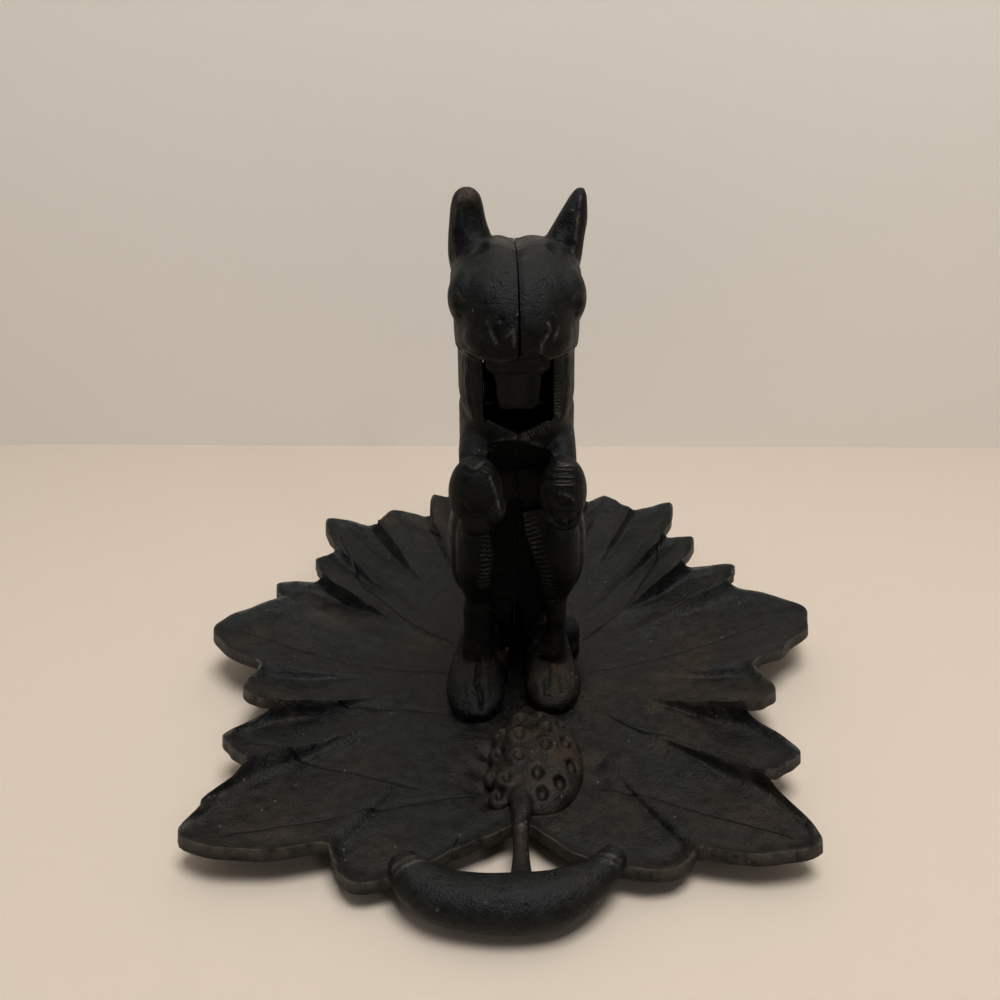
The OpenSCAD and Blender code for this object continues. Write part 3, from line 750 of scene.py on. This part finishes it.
feet = {
    "right": [
        (9.6, 8, 14.8, 6.2, 8.4), (10.4, -1, 15.8, 7.2, 9.4), (10.6, -8, 13.8, 8.2, 7.8),
        (10.9, -14, 12.4, 9.4, 6.2), (10.9, -19.5, 11, 9.1, 4.8), (10.6, -24, 9.6, 6.6, 3.4),
        (10.4, -26.8, 8.6, 2.8, 1.8)],
    "left": [
        (-11.5, 8, 15, 6.8, 8.6), (-12.6, -1, 16.2, 7.4, 10), (-13.4, -8, 14.2, 8.4, 8.2),
        (-13.9, -15, 12.6, 9.4, 6.6), (-14.0, -22, 11.2, 9.2, 5.0), (-13.8, -27, 9.8, 7.2, 3.6),
        (-13.6, -30.2, 8.8, 3.2, 2.0)],
    "rightLeg": [(11.5, -4, 47, 5.6, 8), (12.2, -8.5, 38, 3.7, 6), (12.3, -10, 29, 3.2, 4.8),
                 (11.2, -10, 20, 5, 6)],
    "leftLeg": [(-11.5, -2, 47, 6.5, 8), (-12.4, -6, 36, 5.4, 6.6), (-12.8, -8, 28, 4.8, 5.6),
                (-13.2, -9, 19, 6.0, 6.6)],
    "tuft": [(-7, -7, 8, 4, 4), (-6, -8.5, 14, 2.8, 2.8), (-4.4, -9.4, 19, 1.6, 1.6),
             (-3.4, -9.6, 22.4, 0.6, 0.6)],
}
# thighs, haunches, brows, muzzle and the rough bumps by the right foot: centre, halves and turn
masses = [mass for side in (1, -1) for mass in (
    ((side * 12.2, -1.2, 57), (10.0, 18.4, 20), (-8, 0, 0)),
    ((side * 10.2, 17, 47), (10.2, 18, 22), (12, 0, 0)))]
masses += [((side * 11.6, -10.4, 137.6), (7.2, 11.2, 9.6), (0, 0, side * 16)) for side in (1, -1)]
masses += [
    ((7.4, -20.8, 128.6), (7.6, 7.4, 6.2), (0, 0, 0)),
    ((-7.4, -20.8, 128.8), (7.6, 7.5, 6.2), (0, 0, 0)),
    ((17.0, 12, 14), (5.0, 8, 7.5), (0, 0, 20)), ((19.6, 7, 10), (2.6, 4, 4), (0, 0, 0)),
]
ears = {
    "left": [(-13.2, 2.2, 141, 5.0, 5.8), (-13.2, 2, 146, 5.9, 6), (-12.8, 2, 151, 6.2, 5.5),
             (-13.3, 2.2, 156, 5.2, 4.9), (-13.4, 2.6, 160, 4.6, 4.3), (-13.4, 3, 163, 3.6, 3.4),
             (-13.4, 3.2, 164.8, 1.6, 1.7)],
    "right": [(13.2, 2.2, 141, 5.0, 5.8), (13.5, 2, 146, 5.6, 6), (14.2, 2, 151, 5.5, 5.5),
              (16.0, 2.4, 156, 4.5, 4.7), (17.2, 3, 160, 3.2, 3.7), (18.0, 3.4, 162.8, 2.2, 2.5),
              (18.5, 3.6, 164.6, 0.9, 1.1)],
    "leftCup": [(-11.6, -8.6, 148.2, 1.0, 1.4), (-11.2, -8.4, 150.2, 3.6, 4.2),
                (-11.0, -7.6, 153.4, 5.2, 5.8), (-11.6, -6.8, 157, 4.8, 5.8),
                (-12.2, -5.6, 160, 3.8, 5.0), (-12.8, -4.4, 162.0, 1.6, 3.2)],
    "rightCup": [(11.6, -8.6, 148.2, 1.0, 1.4), (11.8, -8.4, 150.2, 3.4, 4.4),
                 (12.4, -7.6, 153.4, 4.8, 6.0), (13.8, -6.6, 157, 4.0, 5.8),
                 (15.4, -5.0, 160.2, 2.4, 4.4), (16.4, -3.6, 162.0, 0.8, 2.0)],
}

body = squirrelBody
trunk = spineForm("trunk", body["trunk"], 72, 90, power=0.8, level=True)
skull = spineForm("skull", body["skull"], 72, 50, power=0.86, level=True)
forms = [trunk, skull]
forms += [eggForm("mass", *mass) for mass in masses]
forms += [spineForm("arm", paws[key], 28, 40) for key in ("leftArm", "rightArm")]
forms += [spineForm("foot", feet[key], 40, 40, power=0.92) for key in ("left", "right")]
forms += [spineForm("leg", feet[key], 28, 30) for key in ("leftLeg", "rightLeg", "tuft")]
forms += [spineForm("ear", ears[key], 36, 40, level=True) for key in ("left", "right")]
whole = melt("squirrelWhole", forms, voxel=body["coarse"], rounds=4)
print("stage: squirrel forms joined", len(whole.data.polygons))

pivotY, pivotZ = body["pivot"]
throat = ([(-60, body["jawZ"]), (-60, 107)] + pivotArc(body["throatRadius"], 186, 232, 10)
          + pivotArc(body["hubRoom"], 262, 290, 4)
          + [(pivotY + 13, pivotZ - 22), (pivotY + 34, pivotZ - 30), (pivotY + 34, 116.2),
             (pivotY + 9, 116.5)]
          + pivotArc(body["hubRoom"], 50, 90, 5) + [(pivotY - 4, body["jawZ"])])
recess = plateForm("recess", [(-60, 101), (-21.5, 101), (-18, 92), (-13, 86), (-11, 73),
                              (-9, 59), (-60, 59)], -9.6, 9.6)
recessFront = plateForm("recessFront", [
    (-8.4, 97.4), (-5.8, 99), (0, 98.6), (0.1, 97.6), (2.6, 97.2), (8.8, 95.2), (9.4, 90),
    (8.6, 80), (7.4, 74), (0.4, 72.8), (0, 60), (-8.0, 60), (-8.4, 74), (-8.6, 80), (-9.4, 92)],
    -80, 20, "XZ")
carve(recess, [recessFront], "INTERSECT")
rivetY, rivetZ, seatRadius, seatFloor = 7, 135.3, 4.3, 15.5
rivetSeat = [(rivetY + seatRadius * math.cos(k * math.pi / 16),
              rivetZ + seatRadius * math.sin(k * math.pi / 16)) for k in range(32)]
cutters = [
    plateForm("throat", throat, -body["slotHalf"], body["slotHalf"]),
    plateForm("mouthFront", [(-9.8, 108), (9.8, 108), (9.9, 105.2), (0, 100.8), (-9.6, 105.6)],
              -60, -10, "XZ"),
    recess,
    plateForm("thighGap", [(-0.6, 76), (0.8, 76), (2.2, 66), (6.2, 52), (8.6, 40), (7.6, 25),
                           (-7, 25), (-8.6, 40), (-8.2, 54), (-6, 66), (-2, 75)], -60, -3, "XZ"),
    plateForm("legGap", [(-0.3, 35.5), (1.2, 32.5), (2.2, 28), (2.4, 5), (-2.4, 5), (-2.4, 28),
                         (-1.6, 33)], -60, 24, "XZ"),
    plateForm("mouthRim", body["mouthRim"], -60, -20.5, "XZ"),
    plateForm("belly", [(4, 72), (1, 62), (1, 50), (3, 42), (24, 42), (28, 50), (24, 64),
                        (16, 76), (6, 78)], -10, 10),
    plateForm("rivetSeat", rivetSeat, seatFloor, 40),
    plateForm("rivetSeat", rivetSeat, -40, -seatFloor),
    spineForm("cup", ears["leftCup"], 24, 24, level=True),
    spineForm("cup", ears["rightCup"], 24, 24, level=True),
    plateForm("sole", [(-60, 7.0), (60, 7.0), (60, 0), (-60, 0)], -40, 40),
]
carve(whole, cutters)
carve(whole, [eggForm("knuckle", *egg) for egg in paws["eggs"]], "UNION")
applyModifier(whole, "REMESH", mode="VOXEL", voxel_size=body["fine"] * mm)
applyModifier(whole, "SMOOTH", factor=0.5, iterations=2)
print("stage: squirrel carved", len(whole.data.polygons))

faceStrokes = [
    ("front", 0.5, 0.6, [(-8.4, 134.4), (-7.6, 131.6), (-6.1, 128.8)]),
    ("front", -0.6, 0.8, [(-7.2, 134.0), (-6.4, 131.4), (-5.0, 129)]),
    ("front", 0.5, 0.55, [(-3.2, 131.0), (-1.6, 132.6), (-1.5, 128.2)]),
    ("front", 0.7, 0.6, [(7.6, 134.3), (8.1, 131.6), (5.9, 128.6), (5.5, 126.4), (8.7, 123.8)]),
    ("front", -0.8, 1.3, [(2.0, 131.8), (3.8, 129.4), (3.2, 126.6)]),
    ("front", -0.5, 0.8, [(9.2, 133.4), (9.4, 131.2), (7.6, 128.6)]),
    ("front", 0.35, 0.5, [(10.6, 132.4), (9.6, 129.8)]),
    ("front", -0.8, 0.6, [(-5.0, 135.2), (-4.8, 135.0)]),
    ("front", 0.5, 0.6, [(9.1, 135.6), (9.2, 135.3)]),
    ("front", -0.5, 1.0, [(0, 151), (0, 124.5)]),
    ("front", 0.55, 0.55, [(-17.0, 146), (-17.4, 150), (-17.2, 155), (-16.4, 160), (-15.2, 163)]),
    ("front", 0.55, 0.55, [(15.6, 146), (16.6, 151), (17.2, 156), (17.8, 160), (18.2, 162.6)]),
    ("top", -1.6, 2.6, [(0, -16), (0, 12)]),
    ("front", 0.5, 0.7, [(-15.5, 125.9), (-9.7, 124.0), (-4.9, 123.7), (-1.2, 124.4)]),
    ("front", 0.5, 0.7, [(8.9, 124.2), (14.7, 125.3)]),
]
for side, flank in ((-1, "left"), (1, "right")):
    faceStrokes += [
        ("front", 0.4, 0.6, [(side * 14.6, 138.4), (side * 16.2, 140.0), (side * 17.6, 139.4)]),
        ("front", -0.6, 0.7, [(side * 15.2, 137.4), (side * 17.2, 137.0)]),
        ("front", -0.35, 0.8, [(side * 14.8, 134.8), (side * 16.6, 134.2)]),
        ("front", -1.1, 0.6, [(side * 17, 123.9), (side * 13, 122.9), (side * 10, 122.4)]),
        (flank, -1.0, 0.6, [(-19, 123.0), (-10, 122.4), (4, 122.2)]),
        (flank, -0.5, 0.7, [(-13, 140.6), (-9.6, 140.8), (-7.5, 138.4), (-9.6, 135.6), (-13, 136)]),
        (flank, -0.4, 1.2, [(-2, 128), (1, 134), (3, 142)]),
        (flank, -0.8, 1.6, [(4, 30), (-4, 36), (-11, 46), (-13, 58), (-9, 70), (0, 76), (9, 74)]),
        (flank, -0.6, 1.4, [(14, 74), (22, 64), (27, 50), (26, 36)]),
        (flank, -0.6, 1.5, [(-16, 104), (-6, 107), (4, 106), (11, 99)]),
        (flank, -0.5, 1.2, [(9, 122), (7, 113), (10, 100)]),
    ]
    faceStrokes += [(flank, -0.35, 0.8, line) for line in (
        [(4, 92), (6, 84), (10, 78)], [(-1, 90), (1, 82), (5, 77)], [(8, 96), (11, 88), (14, 82)],
        [(15, 60), (19, 52), (20, 42)], [(9, 62), (12, 52), (12, 42)], [(2, 62), (4, 52), (3, 42)])]
    faceStrokes.append(
        ("front", 0.45, 0.9, [(side * 14.2, 121), (side * 14.6, 112), (side * 13.2, 104)]))
    faceStrokes += [("back", -0.4, 0.9, [(side * x, z) for x, z in line]) for line in (
        [(5, 70), (6, 56), (5, 40)], [(10, 66), (12, 52), (10, 36)],
        [(5, 146), (6, 134), (5, 124)], [(10, 142), (11, 132), (10, 124)])]
pawStrokes = [("front", *row) for row in (
    (0.5, 0.7, [(-17, 95.6), (-12.6, 94.8), (-8.4, 96.6)]),
    (0.55, 0.6, [(-8.2, 92), (-6.6, 87), (-5.6, 80.6)]),
    (-0.8, 0.6, [(-15.8, 84.6), (-15.2, 82.4), (-13.2, 81.4)]),
    (0.35, 0.6, [(-15.0, 85.0), (-14.2, 83.2)]),
    (-0.5, 0.6, [(8.0, 92.4), (12, 93.4), (15.8, 92.2)]),
    (-0.5, 0.6, [(7.6, 90.4), (12, 91.4), (16.2, 90.2)]),
    (-0.8, 0.7, [(9.4, 87.0), (9.6, 84.2), (12.4, 83.4), (14.8, 84.6)]),
    (0.5, 0.6, [(10.8, 87.6), (13.8, 86.6), (15.2, 84.8)]),
    (-1.1, 0.7, [(8.0, 81.4), (9.6, 78.2), (12.6, 77.2), (15.8, 78.6), (17, 81)]),
    (-0.7, 0.5, [(10.9, 80.2), (10.8, 75.8)]),
    (-0.7, 0.5, [(13.6, 80.2), (13.8, 75.8)]),
    (0.5, 0.7, [(0.6, 99.6), (6.0, 97.4), (10, 95.4), (15.4, 94.6)]),
    (0.5, 0.6, [(-7.6, 98.6), (-4, 99.6), (-0.8, 100.0)]))]
toeStrokes = [
    ("foot", -1.0, 0.7, [(-12.2, -30), (-12.4, -26), (-13.6, -21), (-12.8, -15)]),
    ("foot", 0.4, 0.9, [(-10.4, -27), (-10.6, -20), (-10.8, -16)]),
    ("foot", 0.35, 0.9, [(-15.8, -28), (-16.4, -20)]),
    ("foot", -0.5, 0.7, [(7.4, -24.6), (7.2, -20)]),
    ("foot", -0.6, 0.7, [(13.6, -24.6), (14.0, -19)]),
    ("foot", 0.5, 1.3, [(10.6, -24), (11.2, -18), (11.2, -14.5)]),
]
engrave(whole, faceStrokes + pawStrokes + toeStrokes)


def splitHalf(name, side):
    makeActive(whole)
    bpy.ops.object.duplicate()
    half = bpy.context.object
    half.name = name
    edge = body["seam"]
    low, high = (-90, edge) if side > 0 else (-edge, 90)
    seamCut = plateForm("seamCut", [(-90, -10), (90, -10), (90, 220), (-90, 220)], low, high)
    # the two halves gape a little towards the mouth
    gape = plateForm("seamGape", body["gape"], -60, -12, "XZ")
    return carve(half, [seamCut, gape])


bodyRight = splitHalf("bodyRight", 1)
bodyLeft = splitHalf("bodyLeft", -1)
bpy.data.objects.remove(whole)
markFur(bodyRight, [
    ("front", 2.2, 0.95, [(9.6, 119), (10.2, 112), (10.6, 106), (7, 103), (2.5, 100.8)]),
    ("front", 3.0, 1.6, [(3.0, 71), (5.4, 62), (8.6, 52), (10.6, 44), (11, 40)]),
    ("front", 2.6, 1.4, [(8.2, 36), (7.2, 27), (6.6, 20)]),
    ("front", 3.4, 1.1, [(12.2, 95), (12.2, 89.5)])])
markFur(bodyLeft, [
    ("front", 2.4, 1.5, [(-8.4, 70), (-9.6, 60), (-10.6, 50)]),
    ("front", 2.0, 1.3, [(-7.6, 97), (-9.2, 93)])])
for half in (bodyRight, bodyLeft):
    markRidges(half, faceStrokes + pawStrokes)
stainPiece(bodyRight, [((11, -16, 18), 9, 0.8), ((13, -9, 30), 7, 0.5), ((18, 4, 159), 3, 0.3)])
stainPiece(bodyLeft, [((-14, -14, 17), 8, 0.5), ((-5, -9, 18), 5, 1.0),
                      ((-13.4, 1, 163.5), 3.2, 1.6)])
dress(bodyRight, bodyIron, "stand", "body_iron", "body_right")
dress(bodyLeft, bodyIron, "stand", "body_iron", "body_left")
print("stage: squirrel halves made", len(bodyRight.data.polygons), len(bodyLeft.data.polygons))

tailLever = {
    "tail": [
        (0, 12, 109, 9.3, 6), (0, 19, 102, 9.3, 5.6), (0, 29, 91, 9.3, 5.6), (0, 35, 79, 10.6, 6.1),
        (0, 44, 69, 11.6, 6.5), (0, 56, 64, 12, 6.5), (0, 68, 66, 12, 6.3), (0, 79, 74, 11.4, 5.9),
        (0, 86, 86, 10.2, 5.3), (0, 89, 99, 8.4, 4.5), (0, 95, 109, 6, 3.7), (0, 105, 113, 3, 2.1)],
    "arm": [(-9.5, 121), (-8.5, 108), (-4.5, 105), (6, 101.6), (8, 110), (7, 118.6), (-6, 119.8)],
    "block": [(-7, 120), (7, 120), (6.4, 111), (6.0, 107.6), (4.6, 106.4), (-5.4, 106.4),
              (-6.2, 111)],
    "lip": [(-9, 122), (9, 122), (9, 119), (7, 117), (-7, 117), (-9, 119)],
    "horn": ((7.9, -15.6, 120.2), (1.5, 2.2, 1.9)),
    "hubRadius": 9.0, "hubWidth": 19.3, "boreRadius": 3.06,
    # the combed hair: depth of the strands and of the fine lines, in shares of the tail's size
    "strand": 0.11, "hairLine": 0.03,
}


def tailPlace(u, v):
    rows = np.array(tailLever["tail"])
    v = np.clip(v, 0, 1)
    row = smoothRows(rows, v)
    other = np.cross(curveRun(rows, v), [1.0, 0.0, 0.0])
    a = 2 * math.pi * u
    comb = np.clip((v - 0.16) / 0.12, 0, 1) * np.clip((1 - v) / 0.04, 0, 1)
    strands = np.abs(np.sin(4.5 * a + 5 * np.sin(3.0 * v))) ** 0.7
    grow = (1 - tailLever["strand"] * comb * (1 - strands)
            - tailLever["hairLine"] * comb * np.abs(np.sin(13 * a - 9 * v)))
    flat = row[:, 3] * bow(np.cos(a), 0.9) * grow
    deep = row[:, 4] * bow(np.sin(a), 0.9) * grow
    return row[:, :3] + np.array([1.0, 0, 0]) * flat[:, None] + other * deep[:, None]


def pivotRod(radius, width, vertices):
    # a cylinder on the pivot's line
    deselectAll()
    bpy.ops.mesh.primitive_cylinder_add(
        vertices=vertices, radius=radius * mm, depth=width * mm,
        location=(0, pivotY * mm, pivotZ * mm), rotation=(0, math.pi / 2, 0))
    rod = bpy.context.object
    bpy.ops.object.transform_apply(location=True, rotation=True, scale=True)
    return rod


tail = wrapGrid("tail", 160, 200, tailPlace)
hub = pivotRod(tailLever["hubRadius"], tailLever["hubWidth"], 96)
(hornX, hornY, hornZ), hornHalves = tailLever["horn"]
horns = [eggForm("horn", (side * hornX, hornY, hornZ), hornHalves) for side in (-1, 1)]
lever = melt("tailLever", [
    tail, hub, plateForm("jawArm", tailLever["arm"], -6, 6),
    plateForm("jawBlock", tailLever["block"], -16.7, -8, "XZ"),
    plateForm("jawLip", tailLever["lip"], -17.5, -4.5, "XZ")] + horns, voxel=0.5, rounds=3)
nutDish = spineForm("nutDish", [(-6.4, -9.5, 128.8, 8, 8), (6.4, -9.5, 128.8, 8, 8)], 48, 8,
                    side=(0, 0, 1))
bore = pivotRod(tailLever["boreRadius"], 30, 64)
jawTop = plateForm("jawTop", [(-40, 122), (40, 122), (40, 140), (-40, 140)], -30, 30)
carve(lever, [nutDish, bore, jawTop])
engrave(lever, [
    ("front", 0.4, 0.6, [(-4.6, 120.6), (0, 120.9), (4.6, 120.6)]),
    ("front", -0.6, 0.7, [(3.4, 117), (3.6, 107.6)]),
    ("front", 0.3, 0.6, [(4.6, 117), (4.8, 108)]),
    ("front", -0.5, 0.8, [(-6.4, 117.4), (6.4, 117.4)]),
])
dress(lever, leverIron, "lever", "lever_iron", "tail_lever")
print("stage: lever made", len(lever.data.polygons))

# the pins, rivets and screws keep the turned shapes of the frame
for node in ("pivot_pin", "head_rivet", "haunch_rivet", "foot_screw_left", "foot_screw_right"):
    for pin in [o for o in bpy.data.objects if o.name == node or o.name.startswith(node + ".")]:
        for slot in pin.material_slots:
            slot.material = pinSteel

# the camera stands where the photograph was taken from
cameraView = {
    "place": (-9.2, -273.2, 195.0), "turn": -2.5, "dip": 24.5, "focalPixels": 950.0,
    "axisPixels": (525.0, 500.0), "imagePixels": 1000.0, "sensor": 36.0,
}
eye = bpy.data.cameras.new("photoCamera")
eye.sensor_width = cameraView["sensor"]
eye.lens = cameraView["focalPixels"] / cameraView["imagePixels"] * cameraView["sensor"]
eye.shift_x = 0.5 - cameraView["axisPixels"][0] / cameraView["imagePixels"]
eye.clip_start = 0.01
camera = bpy.data.objects.new("photoCamera", eye)
bpy.context.scene.collection.objects.link(camera)
camera.location = Vector(cameraView["place"]) * mm
camera.rotation_euler = Euler((math.radians(90 - cameraView["dip"]), 0,
                               math.radians(cameraView["turn"])))
bpy.context.scene.camera = camera

# a table top and a wall in pale matt paint: they take soft shadows and show no shine
paleStage = {
    "floor": "#c9bbab", "wall": "#efe9e0", "roughness": 0.85, "size": 6.0,
    "wallDistance": 0.228, "wallTurn": -3.0,
}
deselectAll()
bpy.ops.mesh.primitive_plane_add(size=paleStage["size"])
floor = bpy.context.object
floor.name = "paleFloor"
floorLook = bpy.data.materials.new("pale_matt_floor")
floorLook.use_nodes = True
floorShader = floorLook.node_tree.nodes["Principled BSDF"]
floorShader.inputs["Base Color"].default_value = linearColour(paleStage["floor"])
floorShader.inputs["Roughness"].default_value = paleStage["roughness"]
floor.data.materials.append(floorLook)
deselectAll()
bpy.ops.mesh.primitive_plane_add(
    size=paleStage["size"], location=(0, paleStage["wallDistance"], 0),
    rotation=(math.pi / 2, 0, math.radians(paleStage["wallTurn"])))
wall = bpy.context.object
wall.name = "paleWall"
wallLook = floorLook.copy()
wallLook.name = "pale_matt_wall"
wallTree = wallLook.node_tree
wallShader = wallTree.nodes["Principled BSDF"]
wallShader.inputs["Base Color"].default_value = linearColour(paleStage["wall"])
# the wall is clear from its back, so that the object can be looked at from behind
wallSide = addNode(wallTree, "NewGeometry")
wallClear = addNode(wallTree, "BsdfTransparent")
wallMix = addNode(wallTree, "MixShader", links={
    0: wallSide.outputs["Backfacing"], 1: wallShader, 2: wallClear})
wallTree.links.new(wallMix.outputs[0], wallTree.nodes["Material Output"].inputs["Surface"])
wall.data.materials.append(wallLook)

roomLight = {"colour": "#e6e2dc", "strength": 0.14}
# each lamp's place in metres, size and power; all look at the middle of the object
softLight = {
    "overhead": ((0.12, -0.22, 1.2), 0.6, 13.0),
    "front": ((0.75, -1.3, 1.05), 0.2, 1.5),
    "side": ((-0.9, -0.1, 0.9), 0.8, 0.8),
}
for name, (place, size, power) in softLight.items():
    lamp = bpy.data.lights.new(name + "Light", "AREA")
    lamp.size = size
    lamp.energy = power
    lampObject = bpy.data.objects.new(name + "Light", lamp)
    bpy.context.scene.collection.objects.link(lampObject)
    lampObject.location = place
    lampObject.rotation_euler = (Vector((0, 0, 0.06)) - Vector(place)).to_track_quat(
        "-Z", "Y").to_euler()

world = bpy.data.worlds.new("paleRoom")
world.use_nodes = True
background = world.node_tree.nodes["Background"]
background.inputs["Color"].default_value = linearColour(roomLight["colour"])
background.inputs["Strength"].default_value = roomLight["strength"]
bpy.context.scene.world = world
bpy.context.scene.view_settings.view_transform = "Standard"
print("stage: camera and light set")
